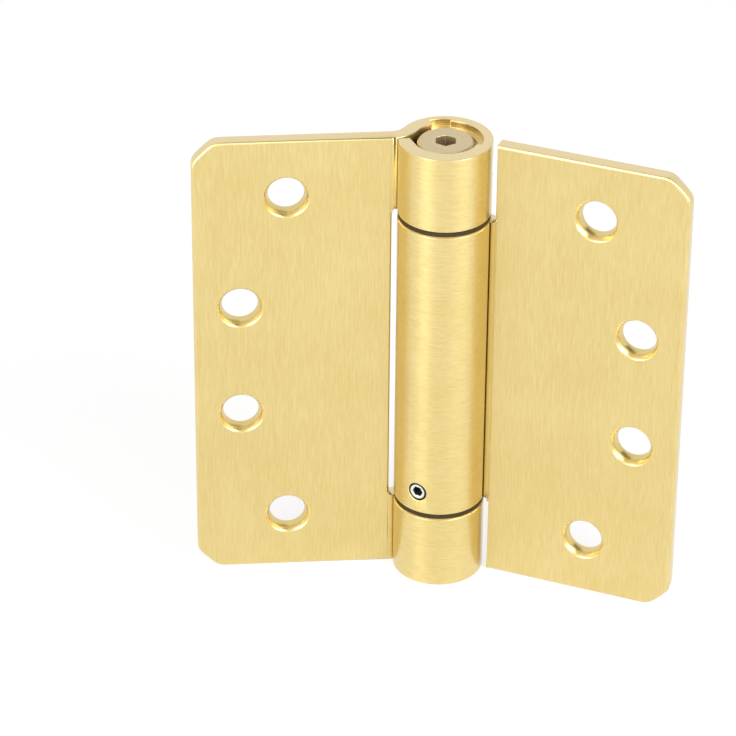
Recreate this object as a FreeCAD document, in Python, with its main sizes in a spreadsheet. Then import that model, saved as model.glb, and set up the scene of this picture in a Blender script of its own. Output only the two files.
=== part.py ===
import FreeCAD, Part
import os
import Sketcher

from FreeCAD import Placement, Rotation, Vector

# Driving dimensions, in millimetres and degrees: name, value and what it measures
SIZES = (
    ("leaf_height", 101.6, "height of the leaves and of the whole barrel"),
    ("leaf_width", 50.8, "barrel axis to the outer edge of a leaf"),
    ("sheet_thickness", 3.0, "thickness of the sheet that both leaves are pressed from"),
    ("corner_radius", 6.35, "radius of the outer corners of a leaf"),
    ("face_setback", 0.8, "front face of a leaf behind the plane of the barrel axis"),
    ("open_angle", 26.0, "door leaf at rest, short of lying flat"),
    ("barrel_diameter", 19.05, "outside of the rolled knuckles"),
    ("bend_radius", 3.5, "inside radius of the bend between plate and knuckle"),
    ("seam_gap", 0.15, "gap where the rolled end comes back to the plate"),
    ("tip_thickness", 2.4, "flat of the rolled end beside the plate"),
    ("tip_bevel", 3.2, "height of the straight stretch inside the rolled end"),
    ("knuckle_height", 16.3, "height of the upper and of the lower knuckle"),
    ("knuckle_gap", 1.4, "gap between two knuckles"),
    ("notch_clearance", 1.0, "barrel to the edge of the other leaf's plate"),
    ("notch_radius", 0.8, "inner corner radius of the notches"),
    ("hole_diameter", 7.0, "screw holes"),
    ("sink_diameter", 9.4, "mouth of the countersinks"),
    ("sink_angle", 82.0, "included angle of the countersinks"),
    ("row_pitch", 25.4, "height between two rows of screw holes"),
    ("near_inset", 19.05, "outer edge of a leaf to its first and last screw hole"),
    ("far_inset", 9.525, "outer edge of a leaf to its two middle screw holes"),
    ("fit_clearance", 0.05, "radial clearance of every fit in the barrel"),
    ("edge_chamfer", 0.4, "chamfer of the turned pieces"),
    ("plug_shoulder", 0.3, "head of the tension plug past its journal"),
    ("plug_recess", 0.5, "top of the tension plug below the rim"),
    ("journal_overhang", 1.2, "journal of the tension plug past its bushing"),
    ("socket_flats", 4.0, "hexagon socket in the tension plug, across flats"),
    ("socket_depth", 5.0, "depth of that socket"),
    ("socket_turn", 14.0, "corner of that socket from a pin hole"),
    ("socket_wall", 0.9, "corners of that socket to the end of a pin hole"),
    ("pin_diameter", 3.2, "tension pin"),
    ("pin_hole_count", 5.0, "pin holes round the tension plug"),
    ("pin_protrusion", 0.5, "tension pin past the barrel"),
    ("slot_height", 4.4, "height of the slot for the tension pin"),
    ("slot_drop", 5.6, "middle of the slot below the rim"),
    ("slot_start", -2.0, "direction of the wound end of the slot"),
    ("slot_travel", 72.0, "angle between the two end places of the pin"),
    ("relief_width", 1.0, "step in the rim of the upper knuckle, past its bore"),
    ("relief_depth", 1.6, "depth of that step"),
    ("relief_start", -25.0, "direction of the front end of the step"),
    ("relief_sweep", 102.0, "angle that the step covers"),
    ("pocket_width", 1.7, "pocket beyond the back end of the step, past the bore"),
    ("pocket_sweep", 32.0, "angle that the pocket covers"),
    ("flange_thickness", 1.0, "flange of a bushing"),
    ("flange_inset", 0.15, "flange and washer inside the barrel's surface"),
    ("sleeve_length", 9.0, "bushing below its flange"),
    ("sleeve_wall", 1.0, "wall of a bushing round a journal"),
    ("washer_thickness", 0.3, "thrust washer below a flange"),
    ("spindle_head", 10.5, "head of the lower spindle"),
    ("cap_thickness", 3.0, "bottom cap"),
    ("cap_gap", 0.3, "lower spindle above the bottom cap"),
    ("rod_clearance", 0.5, "guide rod to the inside of the coils"),
    ("rod_seat", 6.0, "depth of the guide rod in the spindle and in the plug"),
    ("wire_diameter", 2.2, "wire of the torsion spring"),
    ("coil_inset", 0.5, "outside of the coils inside the surface of the journals"),
    ("coil_turns", 16.0, "turns of the spring"),
    ("coil_seat", 0.3, "end coils off the pieces that hold them"),
    ("tang_length", 4.0, "straight end of the wire below and above the coils"),
    ("tang_angle", 60.0, "direction of the lower tang from the door leaf"),
    ("screw_diameter", 4.0, "set screw"),
    ("screw_length", 4.6, "length of the set screw"),
    ("screw_inset", 0.15, "outer end of the set screw below the barrel's surface"),
    ("screw_rise", 4.9, "set screw above the lower end of the middle knuckle"),
    ("screw_bearing", 98.5, "direction of the set screw from the door leaf"),
    ("screw_flats", 2.0, "hexagon socket in the set screw, across flats"),
    ("screw_socket_depth", 2.0, "depth of that socket"),
)

DOCUMENT = FreeCAD.newDocument("hinge")
SHEET = DOCUMENT.addObject("Spreadsheet::Sheet", "sizes")
for row, (alias, size, meaning) in enumerate(SIZES, start=1):
    SHEET.set(f"A{row}", alias)
    SHEET.set(f"B{row}", str(size))
    SHEET.set(f"C{row}", meaning)
    SHEET.setAlias(f"B{row}", alias)
DOCUMENT.recompute()

# Radii of the barrel, from its axis
BARREL = "(sizes.barrel_diameter / 2)"
BORE = f"({BARREL} - sizes.sheet_thickness)"
IN_BORE = f"({BORE} - sizes.fit_clearance)"
FLANGE = f"({BARREL} - sizes.flange_inset)"
JOURNAL = f"({IN_BORE} - sizes.sleeve_wall - sizes.fit_clearance)"
PLUG_HEAD = f"({JOURNAL} + sizes.plug_shoulder)"
PIN_SEAT = "(sizes.socket_flats / sqrt(3) + sizes.socket_wall)"
WIRE = "(sizes.wire_diameter / 2)"
TANG = f"({WIRE} - sizes.fit_clearance)"
COIL = f"({JOURNAL} - sizes.coil_inset - {WIRE})"
ROD = f"({COIL} - {WIRE} - sizes.rod_clearance)"
ROD_SEAT = f"({ROD} + sizes.fit_clearance)"

# Heights along the barrel, from its lower end
MIDDLE_FOOT = "(sizes.knuckle_height + sizes.knuckle_gap)"
UPPER_FOOT = "(sizes.leaf_height - sizes.knuckle_height)"
MIDDLE_TOP = f"({UPPER_FOOT} - sizes.knuckle_gap)"
HEAD_TOP = f"({MIDDLE_FOOT} + sizes.spindle_head)"
SLEEVE_FOOT = f"({MIDDLE_TOP} + sizes.washer_thickness - sizes.sleeve_length)"
PLUG_FOOT = f"({SLEEVE_FOOT} - sizes.journal_overhang)"
PLUG_TOP = "(sizes.leaf_height - sizes.plug_recess)"
SLOT_LEVEL = "(sizes.leaf_height - sizes.slot_drop)"
SCREW_LEVEL = f"({MIDDLE_FOOT} + sizes.screw_rise)"

# Directions round the barrel axis, from +X towards +Y
PIN_REST = "(sizes.slot_start + sizes.slot_travel)"
SLOT_MIDDLE = "(sizes.slot_start + sizes.slot_travel / 2)"
RELIEF_MIDDLE = "(sizes.relief_start + sizes.relief_sweep / 2)"
POCKET_MIDDLE = "(sizes.relief_start + sizes.relief_sweep + sizes.pocket_sweep / 2)"
UPPER_TANG = f"(sizes.tang_angle - sizes.open_angle - 360 * sizes.coil_turns - {PIN_REST})"

# A tool that cuts right through reaches this far past the stock
OVERCUT = "sizes.sheet_thickness"

# Rows of screw holes on a leaf
HOLE_ROWS = 4

UP = Vector(0, 0, 1)
DOWN = Vector(0, 0, -1)
TOUCH = 0.001
ORIGIN = (-1, 1)
START, END, CENTRE = 1, 2, 3


def number(formula):
    """What a formula of the sheet's sizes comes to."""
    return float(SHEET.evalExpression(formula))


def bind(target, path, formula):
    """Ties one property of an object to a formula of the sheet's sizes."""
    target.setExpression(path, formula)


class Drawing:
    """A sketch on an origin plane of its own body, with each size tied to a formula."""

    def __init__(self, body, name, plane, offset="0", turn="0"):
        self.body = body
        self.sketch = body.newObject("Sketcher::SketchObject", name)
        support = next(item for item in body.Origin.OriginFeatures if item.Role == plane)
        self.sketch.AttachmentSupport = [(support, "")]
        self.sketch.MapMode = "FlatFace"
        start = Vector(0, 0, number(offset))
        self.sketch.AttachmentOffset = Placement(start, Rotation(Vector(0, 1, 0), number(turn)))
        bind(self.sketch, "AttachmentOffset.Base.z", offset)
        bind(self.sketch, "AttachmentOffset.Rotation.Angle", turn)

    def measure(self, kind, elements, formula):
        """Adds a dimension and ties it to its formula."""
        index = self.sketch.addConstraint(Sketcher.Constraint(kind, *elements, number(formula)))
        bind(self.sketch, f"Constraints[{index}]", formula)

    def rule(self, kind, *elements):
        """Adds a constraint without a size."""
        self.sketch.addConstraint(Sketcher.Constraint(kind, *elements))

    def locate(self, element, place, across, along):
        """Puts one point at its two distances from the sketch's origin."""
        self.measure("DistanceX", (*ORIGIN, element, place), across)
        self.measure("DistanceY", (*ORIGIN, element, place), along)

    def circle(self, across, along, radius):
        """Draws a circle from its centre and radius."""
        centre = Vector(number(across), number(along), 0)
        element = self.sketch.addGeometry(Part.Circle(centre, UP, number(radius)), False)
        self.locate(element, CENTRE, across, along)
        self.measure("Radius", (element,), radius)

    def outline(self, corners):
        """Draws a closed outline of straight lines through its corners."""
        points = [Vector(number(across), number(along), 0) for across, along in corners]
        ends = points[1:] + points[:1]
        lines = [
            self.sketch.addGeometry(Part.LineSegment(point, end), False)
            for point, end in zip(points, ends)
        ]
        for line, following in zip(lines, lines[1:] + lines[:1]):
            self.rule("Coincident", line, END, following, START)
        for line, (across, along) in zip(lines, corners):
            self.locate(line, START, across, along)

    def rectangle(self, left, right, foot, top):
        """Draws a rectangle between two widths and two heights."""
        self.outline(((left, foot), (right, foot), (right, top), (left, top)))

    def rounded_rectangle(self, left, right, foot, top, radius):
        """Draws a rectangle with four equal round corners."""
        low, high = sorted((number(left), number(right)))
        bottom, ceiling, bend = number(foot), number(top), number(radius)
        corners = (
            (Vector(high - bend, bottom + bend, 0), Vector(0, -bend, 0), Vector(bend, 0, 0)),
            (Vector(high - bend, ceiling - bend, 0), Vector(bend, 0, 0), Vector(0, bend, 0)),
            (Vector(low + bend, ceiling - bend, 0), Vector(0, bend, 0), Vector(-bend, 0, 0)),
            (Vector(low + bend, bottom + bend, 0), Vector(-bend, 0, 0), Vector(0, -bend, 0)),
        )
        arcs, lines = [], []
        for corner, (centre, first, last) in enumerate(corners):
            middle = centre + (first + last).normalize() * bend
            arc = Part.Arc(centre + first, middle, centre + last)
            arcs.append(self.sketch.addGeometry(arc, False))
            following, start, _ = corners[(corner + 1) % len(corners)]
            side = Part.LineSegment(centre + last, following + start)
            lines.append(self.sketch.addGeometry(side, False))
        for arc, line, following in zip(arcs, lines, arcs[1:] + arcs[:1]):
            self.rule("Tangent", arc, END, line, START)
            self.rule("Tangent", line, END, following, START)
            self.measure("Radius", (arc,), radius)
        right_side, top_side, left_side, foot_side = lines
        for line in (right_side, left_side):
            self.rule("Vertical", line)
        for line in (top_side, foot_side):
            self.rule("Horizontal", line)
        across = sorted((left, right), key=number)
        self.measure("DistanceX", (*ORIGIN, left_side, START), across[0])
        self.measure("DistanceX", (*ORIGIN, right_side, START), across[1])
        self.measure("DistanceY", (*ORIGIN, foot_side, START), foot)
        self.measure("DistanceY", (*ORIGIN, top_side, START), top)

    def hexagon(self, flats, turn="0"):
        """Draws a hexagon about the sketch's axis from its width across flats."""
        corners = [f"({turn} + {angle})" for angle in range(0, 360, 60)]
        self.outline([
            (f"{flats} / sqrt(3) * cos({corner})", f"{flats} / sqrt(3) * sin({corner})")
            for corner in corners
        ])


def new_body(name):
    """Adds the body of one sub-part, labelled with the node's name."""
    body = DOCUMENT.addObject("PartDesign::Body", name)
    body.Label = name
    return body


def turn_about_axis(body, angle, direction=UP, level="0"):
    """Gives a body its place: a turn about the barrel axis and a height on it."""
    body.Placement = Placement(Vector(0, 0, number(level)), Rotation(direction, number(angle)))
    bind(body, "Placement.Base.z", level)
    bind(body, "Placement.Rotation.Angle", angle)


def pad(drawing, name, length):
    """Raises a sketch into a solid."""
    feature = drawing.body.newObject("PartDesign::Pad", name)
    feature.Profile = drawing.sketch
    bind(feature, "Length", length)
    DOCUMENT.recompute()
    return feature


def pocket(drawing, name, depth=None, backwards=False):
    """Cuts a sketch into the solid, to a depth or both ways through it."""
    before = drawing.body.Tip.Shape.Volume
    feature = drawing.body.newObject("PartDesign::Pocket", name)
    feature.Profile = drawing.sketch
    feature.Reversed = backwards
    if depth is None:
        feature.Type = "ThroughAll"
        feature.Midplane = True
    else:
        bind(feature, "Length", depth)
    DOCUMENT.recompute()
    if not feature.Shape.Volume < before:
        raise ValueError(f"{drawing.body.Label}: {name} cuts nothing")
    return feature


def groove(drawing, name, angle):
    """Cuts a sketch round the barrel axis, by half the angle each way."""
    before = drawing.body.Tip.Shape.Volume
    feature = drawing.body.newObject("PartDesign::Groove", name)
    feature.Profile = drawing.sketch
    feature.ReferenceAxis = (drawing.sketch, ["V_Axis"])
    feature.Midplane = True
    bind(feature, "Angle", angle)
    DOCUMENT.recompute()
    if not feature.Shape.Volume < before:
        raise ValueError(f"{drawing.body.Label}: {name} cuts nothing")
    return feature


def revolve(drawing, name, axis="V_Axis"):
    """Turns a sketch a full circle about one of its own axes."""
    feature = drawing.body.newObject("PartDesign::Revolution", name)
    feature.Profile = drawing.sketch
    feature.ReferenceAxis = (drawing.sketch, [axis])
    feature.Angle = 360
    DOCUMENT.recompute()
    return feature


def round_corners(body, name, radius, across):
    """Rounds the edges that run through the sheet at one distance from the axis."""
    base = body.Tip
    edges = []
    for index, edge in enumerate(base.Shape.Edges, start=1):
        first, last = edge.Vertexes[0].Point, edge.Vertexes[-1].Point
        runs_through = edge.Length - abs((last - first).y) < TOUCH
        if runs_through and abs(edge.CenterOfMass.x - across) < TOUCH:
            edges.append(f"Edge{index}")
    if not edges:
        raise ValueError(f"{body.Label}: no edges for {name}")
    feature = body.newObject("PartDesign::Fillet", name)
    feature.Base = (base, edges)
    bind(feature, "Radius", radius)
    DOCUMENT.recompute()


def leaf_section(body, side):
    """Draws a leaf seen from above: plate, bend and knuckle as one bent sheet.

    The plate points along side * X. The sheet leaves the plate's back in an S,
    runs round the barrel and comes back to the plate's front, where the rolled
    end stops at the seam.
    """
    drawing = Drawing(body, "section", "XY_Plane")
    sketch = drawing.sketch
    barrel, bore = number(BARREL), number(BORE)
    bend = number("sizes.bend_radius")
    front = number("sizes.face_setback")
    back = front + number("sizes.sheet_thickness")
    seam = front - number("sizes.seam_gap")
    bend_height = back + bend
    bend_across = ((barrel + bend) ** 2 - bend_height ** 2) ** 0.5
    tip_across = (barrel ** 2 - seam ** 2) ** 0.5
    bevel_height = seam - number("sizes.tip_bevel")
    bevel_across = (bore ** 2 - bevel_height ** 2) ** 0.5

    def at(across, along):
        return Vector(side * across, along, 0)

    def between(centre, radius, first, last):
        """The point of a short arc midway between its two ends."""
        direction = (first - centre) + (last - centre)
        return centre + direction.normalize() * radius

    centre = at(bend_across, bend_height)
    edge_front = at(number("sizes.leaf_width"), front)
    edge_back = at(number("sizes.leaf_width"), back)
    bend_front, bend_back = at(bend_across, front), at(bend_across, back)
    bore_start = centre * (bore / (barrel + bend))
    barrel_end = centre * (barrel / (barrel + bend))
    bore_end = at(bevel_across, bevel_height)
    tip_inside = at(tip_across - number("sizes.tip_thickness"), seam)
    tip_outside = at(tip_across, seam)
    outer_bend = bend + back - front
    pieces = (
        Part.LineSegment(edge_front, bend_front),
        Part.Arc(bend_front, between(centre, outer_bend, bend_front, bore_start), bore_start),
        Part.Arc(bore_start, at(-bore, 0), bore_end),
        Part.LineSegment(bore_end, tip_inside),
        Part.LineSegment(tip_inside, tip_outside),
        Part.Arc(tip_outside, at(-barrel, 0), barrel_end),
        Part.Arc(barrel_end, between(centre, bend, barrel_end, bend_back), bend_back),
        Part.LineSegment(bend_back, edge_back),
        Part.LineSegment(edge_back, edge_front),
    )
    corners = (
        bend_front, bore_start, bore_end, tip_inside, tip_outside,
        barrel_end, bend_back, edge_back, edge_front,
    )
    elements = [sketch.addGeometry(piece, False) for piece in pieces]
    plate_front, front_bend, bore_arc, bevel, tip, barrel_arc, back_bend, plate_back, edge = elements

    def end_at(element, corner):
        return min((START, END), key=lambda end: sketch.getPoint(element, end).distanceToPoint(corner))

    smooth = (bend_front, bore_start, barrel_end, bend_back)
    for element, following, corner in zip(elements, elements[1:] + elements[:1], corners):
        kind = "Tangent" if corner in smooth else "Coincident"
        drawing.rule(kind, element, end_at(element, corner), following, end_at(following, corner))
    for level in (plate_front, tip, plate_back):
        drawing.rule("Horizontal", level)
    drawing.rule("Vertical", edge)
    drawing.rule("Coincident", bore_arc, CENTRE, *ORIGIN)
    drawing.rule("Coincident", barrel_arc, CENTRE, *ORIGIN)
    drawing.rule("Coincident", front_bend, CENTRE, back_bend, CENTRE)
    drawing.measure("Radius", (barrel_arc,), BARREL)
    drawing.measure("Radius", (back_bend,), "sizes.bend_radius")
    drawing.locate(plate_front, START, f"{side} * sizes.leaf_width", "sizes.face_setback")
    drawing.measure("DistanceY", (edge, END, edge, START), "sizes.sheet_thickness")
    drawing.measure("DistanceY", (*ORIGIN, tip, START), "sizes.face_setback - sizes.seam_gap")
    drawing.measure("DistanceX", (tip, START, tip, END), f"{side} * sizes.tip_thickness")
    drawing.measure("DistanceY", (bevel, START, bevel, END), "sizes.tip_bevel")
    return drawing


def leaf(name, side, notches):
    """Makes one leaf: the rolled sheet, its notches, corners and screw holes."""
    body = new_body(name)
    pad(leaf_section(body, side), "sheet", "sizes.leaf_height")

    edge = f"{BARREL} + sizes.notch_clearance"
    inner, outer = f"{side} * ({edge})", f"{-side} * ({edge})"
    for count, (foot, top) in enumerate(notches, start=1):
        drawing = Drawing(body, f"notch_{count}_outline", "XZ_Plane")
        drawing.rounded_rectangle(inner, outer, foot, top, "sizes.notch_radius")
        pocket(drawing, f"notch_{count}")

    round_corners(body, "outer_corners", "sizes.corner_radius", side * number("sizes.leaf_width"))

    drawing = Drawing(body, "hole_centres", "XZ_Plane", offset="-sizes.face_setback")
    last_row = HOLE_ROWS - 1
    for row in range(HOLE_ROWS):
        inset = "sizes.near_inset" if row in (0, last_row) else "sizes.far_inset"
        column = f"{side} * (sizes.leaf_width - {inset})"
        height_on_leaf = f"sizes.leaf_height / 2 + {row - last_row / 2} * sizes.row_pitch"
        drawing.circle(column, height_on_leaf, "sizes.hole_diameter / 2")
    DOCUMENT.recompute()
    before = body.Tip.Shape.Volume
    holes = body.newObject("PartDesign::Hole", "screw_holes")
    holes.Profile = drawing.sketch
    DOCUMENT.recompute()
    holes.ThreadType = "None"
    holes.DepthType = "ThroughAll"
    holes.HoleCutType = "Countersink"
    holes.HoleCutCustomValues = True
    bind(holes, "Diameter", "sizes.hole_diameter")
    bind(holes, "HoleCutDiameter", "sizes.sink_diameter")
    bind(holes, "HoleCutCountersinkAngle", "sizes.sink_angle")
    DOCUMENT.recompute()
    if not holes.Shape.Volume < before:
        raise ValueError(f"{name}: the screw holes cut nothing")
    return body


def frame_leaf():
    """Makes the leaf on the frame, with the upper and the lower knuckle."""
    body = leaf("frame_leaf", -1, (("sizes.knuckle_height", UPPER_FOOT),))

    # Slot for the tension pin: a band round the barrel with two round ends
    half = "sizes.slot_height / 2"
    inside, outside = f"{BORE} - {OVERCUT} / 2", f"{BARREL} + {OVERCUT}"
    band = Drawing(body, "slot_band_outline", "XZ_Plane", turn=SLOT_MIDDLE)
    band.rectangle(inside, outside, f"{SLOT_LEVEL} - {half}", f"{SLOT_LEVEL} + {half}")
    groove(band, "slot_band", "sizes.slot_travel")
    ends = (("start", "sizes.slot_start"), ("rest", PIN_REST))
    for label, direction in ends:
        drawing = Drawing(body, f"slot_{label}_outline", "XZ_Plane", turn=f"{direction} + 90")
        drawing.circle("0", SLOT_LEVEL, half)
        pocket(drawing, f"slot_{label}", outside, backwards=True)

    # Step in the rim, above the slot, and the pocket beyond it
    cuts = (
        ("rim_step", RELIEF_MIDDLE, "sizes.relief_width", "sizes.relief_sweep"),
        ("rim_pocket", POCKET_MIDDLE, "sizes.pocket_width", "sizes.pocket_sweep"),
    )
    for label, middle, width, sweep in cuts:
        drawing = Drawing(body, f"{label}_outline", "XZ_Plane", turn=middle)
        drawing.rectangle(
            inside,
            f"{BORE} + {width}",
            "sizes.leaf_height - sizes.relief_depth",
            f"sizes.leaf_height + {OVERCUT}",
        )
        groove(drawing, label, sweep)
    return body


def door_leaf():
    """Makes the leaf on the door, with the long middle knuckle."""
    notches = (
        (f"-{OVERCUT}", MIDDLE_FOOT),
        (MIDDLE_TOP, f"sizes.leaf_height + {OVERCUT}"),
    )
    body = leaf("door_leaf", 1, notches)
    drawing = Drawing(body, "screw_hole_outline", "XZ_Plane", turn="90 - sizes.screw_bearing")
    drawing.circle("0", SCREW_LEVEL, "sizes.screw_diameter / 2 + sizes.fit_clearance")
    pocket(drawing, "screw_hole", f"{BARREL} + {OVERCUT}", backwards=True)
    turn_about_axis(body, "sizes.open_angle", DOWN)
    return body


def turned_piece(name, corners):
    """Makes a piece turned about the barrel axis from its half section."""
    body = new_body(name)
    drawing = Drawing(body, "half_section", "XZ_Plane")
    drawing.outline(corners)
    revolve(drawing, "turned")
    return body


def bore_from_below(body, name, radius, foot, depth):
    """Bores a blind hole on the axis, upwards from a level."""
    drawing = Drawing(body, f"{name}_outline", "XY_Plane", offset=foot)
    drawing.circle("0", "0", radius)
    pocket(drawing, name, depth, backwards=True)


def tension_plug():
    """Makes the plug that winds the spring: head, journal, socket and holes."""
    chamfer = "sizes.edge_chamfer"
    body = turned_piece("tension_plug", (
        ("0", PLUG_FOOT),
        (f"{JOURNAL} - {chamfer}", PLUG_FOOT),
        (JOURNAL, f"{PLUG_FOOT} + {chamfer}"),
        (JOURNAL, UPPER_FOOT),
        (PLUG_HEAD, UPPER_FOOT),
        (PLUG_HEAD, f"{PLUG_TOP} - {chamfer}"),
        (f"{PLUG_HEAD} - {chamfer}", PLUG_TOP),
        ("0", PLUG_TOP),
    ))
    socket = Drawing(body, "socket_outline", "XY_Plane", offset=PLUG_TOP)
    socket.hexagon("sizes.socket_flats", "sizes.socket_turn")
    pocket(socket, "socket", "sizes.socket_depth")

    hole = Drawing(body, "pin_hole_outline", "XZ_Plane")
    hole_top = f"{SLOT_LEVEL} + sizes.pin_diameter / 2 + 2 * sizes.fit_clearance"
    hole.outline((
        (PIN_SEAT, SLOT_LEVEL),
        (BARREL, SLOT_LEVEL),
        (BARREL, hole_top),
        (PIN_SEAT, hole_top),
    ))
    before = body.Tip.Shape.Volume
    drill = body.newObject("PartDesign::Groove", "pin_hole")
    drill.Profile = hole.sketch
    drill.ReferenceAxis = (hole.sketch, ["Edge1"])
    drill.Angle = 360
    DOCUMENT.recompute()
    ring = body.newObject("PartDesign::PolarPattern", "pin_holes")
    ring.Originals = [drill]
    ring.Axis = (hole.sketch, ["V_Axis"])
    ring.Angle = 360
    bind(ring, "Occurrences", "sizes.pin_hole_count")
    body.Tip = ring
    DOCUMENT.recompute()
    if not ring.Shape.Volume < drill.Shape.Volume < before:
        raise ValueError("the pin holes cut nothing")

    bore_from_below(body, "rod_seat", ROD_SEAT, PLUG_FOOT, "sizes.rod_seat + sizes.coil_seat")
    tang_seat(body, PLUG_FOOT, UPPER_TANG, backwards=True)
    turn_about_axis(body, PIN_REST)
    return body


def tang_seat(body, level, direction, backwards):
    """Drills the hole that takes a tang of the spring."""
    drawing = Drawing(body, "tang_seat_outline", "XY_Plane", offset=level)
    drawing.circle(f"{COIL} * cos({direction})", f"{COIL} * sin({direction})", WIRE)
    pocket(drawing, "tang_seat", "sizes.tang_length + sizes.coil_seat", backwards)


def lower_spindle():
    """Makes the spindle that the set screw holds in the middle knuckle."""
    chamfer = "sizes.edge_chamfer"
    foot = "(sizes.cap_thickness + sizes.cap_gap)"
    body = turned_piece("lower_spindle", (
        ("0", foot),
        (f"{JOURNAL} - {chamfer}", foot),
        (JOURNAL, f"{foot} + {chamfer}"),
        (JOURNAL, MIDDLE_FOOT),
        (f"{IN_BORE} - {chamfer}", MIDDLE_FOOT),
        (IN_BORE, f"{MIDDLE_FOOT} + {chamfer}"),
        (IN_BORE, f"{HEAD_TOP} - {chamfer}"),
        (f"{IN_BORE} - {chamfer}", HEAD_TOP),
        ("0", HEAD_TOP),
    ))
    seat = Drawing(body, "rod_seat_outline", "XY_Plane", offset=HEAD_TOP)
    seat.circle("0", "0", ROD_SEAT)
    pocket(seat, "rod_seat", "sizes.rod_seat")
    tang_seat(body, HEAD_TOP, "sizes.tang_angle + sizes.screw_bearing - 90", backwards=False)

    # Dimple for the set screw
    dimple = Drawing(
        body,
        "dimple_outline",
        "XZ_Plane",
        offset=f"{BARREL} - sizes.screw_inset - sizes.screw_length - sizes.fit_clearance",
    )
    dimple.circle("0", SCREW_LEVEL, "sizes.screw_diameter / 2 + sizes.fit_clearance")
    pocket(dimple, "dimple", BARREL, backwards=True)
    turn_about_axis(body, "sizes.open_angle + sizes.screw_bearing - 90", DOWN)
    return body


def tension_pin():
    """Makes the dowel that goes through the slot into the plug."""
    body = new_body("tension_pin")
    radius, chamfer = "sizes.pin_diameter / 2", "sizes.edge_chamfer"
    inner = f"({PIN_SEAT} + sizes.fit_clearance)"
    outer = f"({BARREL} + sizes.pin_protrusion)"
    drawing = Drawing(body, "half_section", "XZ_Plane")
    drawing.outline((
        (inner, "0"),
        (outer, "0"),
        (outer, f"{radius} - {chamfer}"),
        (f"{outer} - {chamfer}", radius),
        (f"{inner} + {chamfer}", radius),
        (inner, f"{radius} - {chamfer}"),
    ))
    revolve(drawing, "dowel", "H_Axis")
    turn_about_axis(body, PIN_REST, UP, SLOT_LEVEL)
    return body


def set_screw():
    """Makes the headless screw that fixes the lower spindle."""
    body = new_body("set_screw")
    radius, chamfer = "sizes.screw_diameter / 2", "sizes.edge_chamfer"
    outer = f"({BARREL} - sizes.screw_inset)"
    inner = f"({outer} - sizes.screw_length)"
    drawing = Drawing(body, "half_section", "XZ_Plane")
    drawing.outline((
        (inner, "0"),
        (outer, "0"),
        (outer, radius),
        (f"{inner} + {chamfer}", radius),
        (inner, f"{radius} - {chamfer}"),
    ))
    revolve(drawing, "shank", "H_Axis")
    socket = Drawing(body, "socket_outline", "YZ_Plane", offset=outer)
    socket.hexagon("sizes.screw_flats")
    pocket(socket, "socket", "sizes.screw_socket_depth")
    turn_about_axis(body, "sizes.open_angle + sizes.screw_bearing", DOWN, SCREW_LEVEL)
    return body


def bushing(name, seat):
    """Makes a flanged bushing on its washer, with its sleeve in a bore below."""
    inside = f"({JOURNAL} + sizes.fit_clearance)"
    flange_foot = f"({seat} + sizes.washer_thickness)"
    flange_top = f"({flange_foot} + sizes.flange_thickness)"
    sleeve_foot = f"({flange_foot} - sizes.sleeve_length)"
    return turned_piece(name, (
        (inside, sleeve_foot),
        (IN_BORE, sleeve_foot),
        (IN_BORE, flange_foot),
        (FLANGE, flange_foot),
        (FLANGE, flange_top),
        (inside, flange_top),
    ))


def thrust_washer(name, seat):
    """Makes the steel washer between a knuckle's end and the flange above it."""
    inside = f"({BORE} + sizes.fit_clearance)"
    top = f"{seat} + sizes.washer_thickness"
    return turned_piece(name, ((inside, seat), (FLANGE, seat), (FLANGE, top), (inside, top)))


def bottom_cap():
    """Makes the cap pressed into the lower knuckle, flush with its end."""
    chamfer = "sizes.edge_chamfer"
    return turned_piece("bottom_cap", (
        ("0", "0"),
        (f"{IN_BORE} - {chamfer}", "0"),
        (IN_BORE, chamfer),
        (IN_BORE, "sizes.cap_thickness"),
        ("0", "sizes.cap_thickness"),
    ))


def guide_rod():
    """Makes the rod that keeps the spring straight, from spindle to plug."""
    chamfer = "sizes.edge_chamfer"
    foot = f"({HEAD_TOP} - sizes.rod_seat)"
    top = f"({PLUG_FOOT} + sizes.rod_seat)"
    return turned_piece("guide_rod", (
        ("0", foot),
        (f"{ROD} - {chamfer}", foot),
        (ROD, f"{foot} + {chamfer}"),
        (ROD, f"{top} - {chamfer}"),
        (f"{ROD} - {chamfer}", top),
        ("0", top),
    ))


def torsion_spring():
    """Makes the spring: left-hand coils and a straight tang at each end."""
    body = new_body("torsion_spring")
    foot = f"({HEAD_TOP} + sizes.coil_seat + {WIRE})"
    top = f"({PLUG_FOOT} - sizes.coil_seat - {WIRE})"
    wire = Drawing(body, "wire_outline", "XZ_Plane", turn="sizes.tang_angle")
    wire.circle(COIL, foot, WIRE)
    coils = body.newObject("PartDesign::AdditiveHelix", "coils")
    coils.Profile = wire.sketch
    coils.ReferenceAxis = (wire.sketch, ["V_Axis"])
    coils.Mode = "height-turns-angle"
    coils.LeftHanded = True
    bind(coils, "Height", f"{top} - {foot}")
    bind(coils, "Turns", "sizes.coil_turns")
    DOCUMENT.recompute()
    body.Tip = coils

    ends = (
        ("lower", "sizes.tang_angle", foot, True),
        ("upper", "sizes.tang_angle - 360 * sizes.coil_turns", top, False),
    )
    for label, direction, level, downwards in ends:
        tang = Drawing(body, f"{label}_tang_outline", "XY_Plane", offset=level)
        tang.circle(f"{COIL} * cos({direction})", f"{COIL} * sin({direction})", TANG)
        leg = pad(tang, f"{label}_tang", f"sizes.tang_length + sizes.coil_seat + {WIRE}")
        leg.Reversed = downwards
    turn_about_axis(body, "sizes.open_angle", DOWN)
    return body


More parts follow.
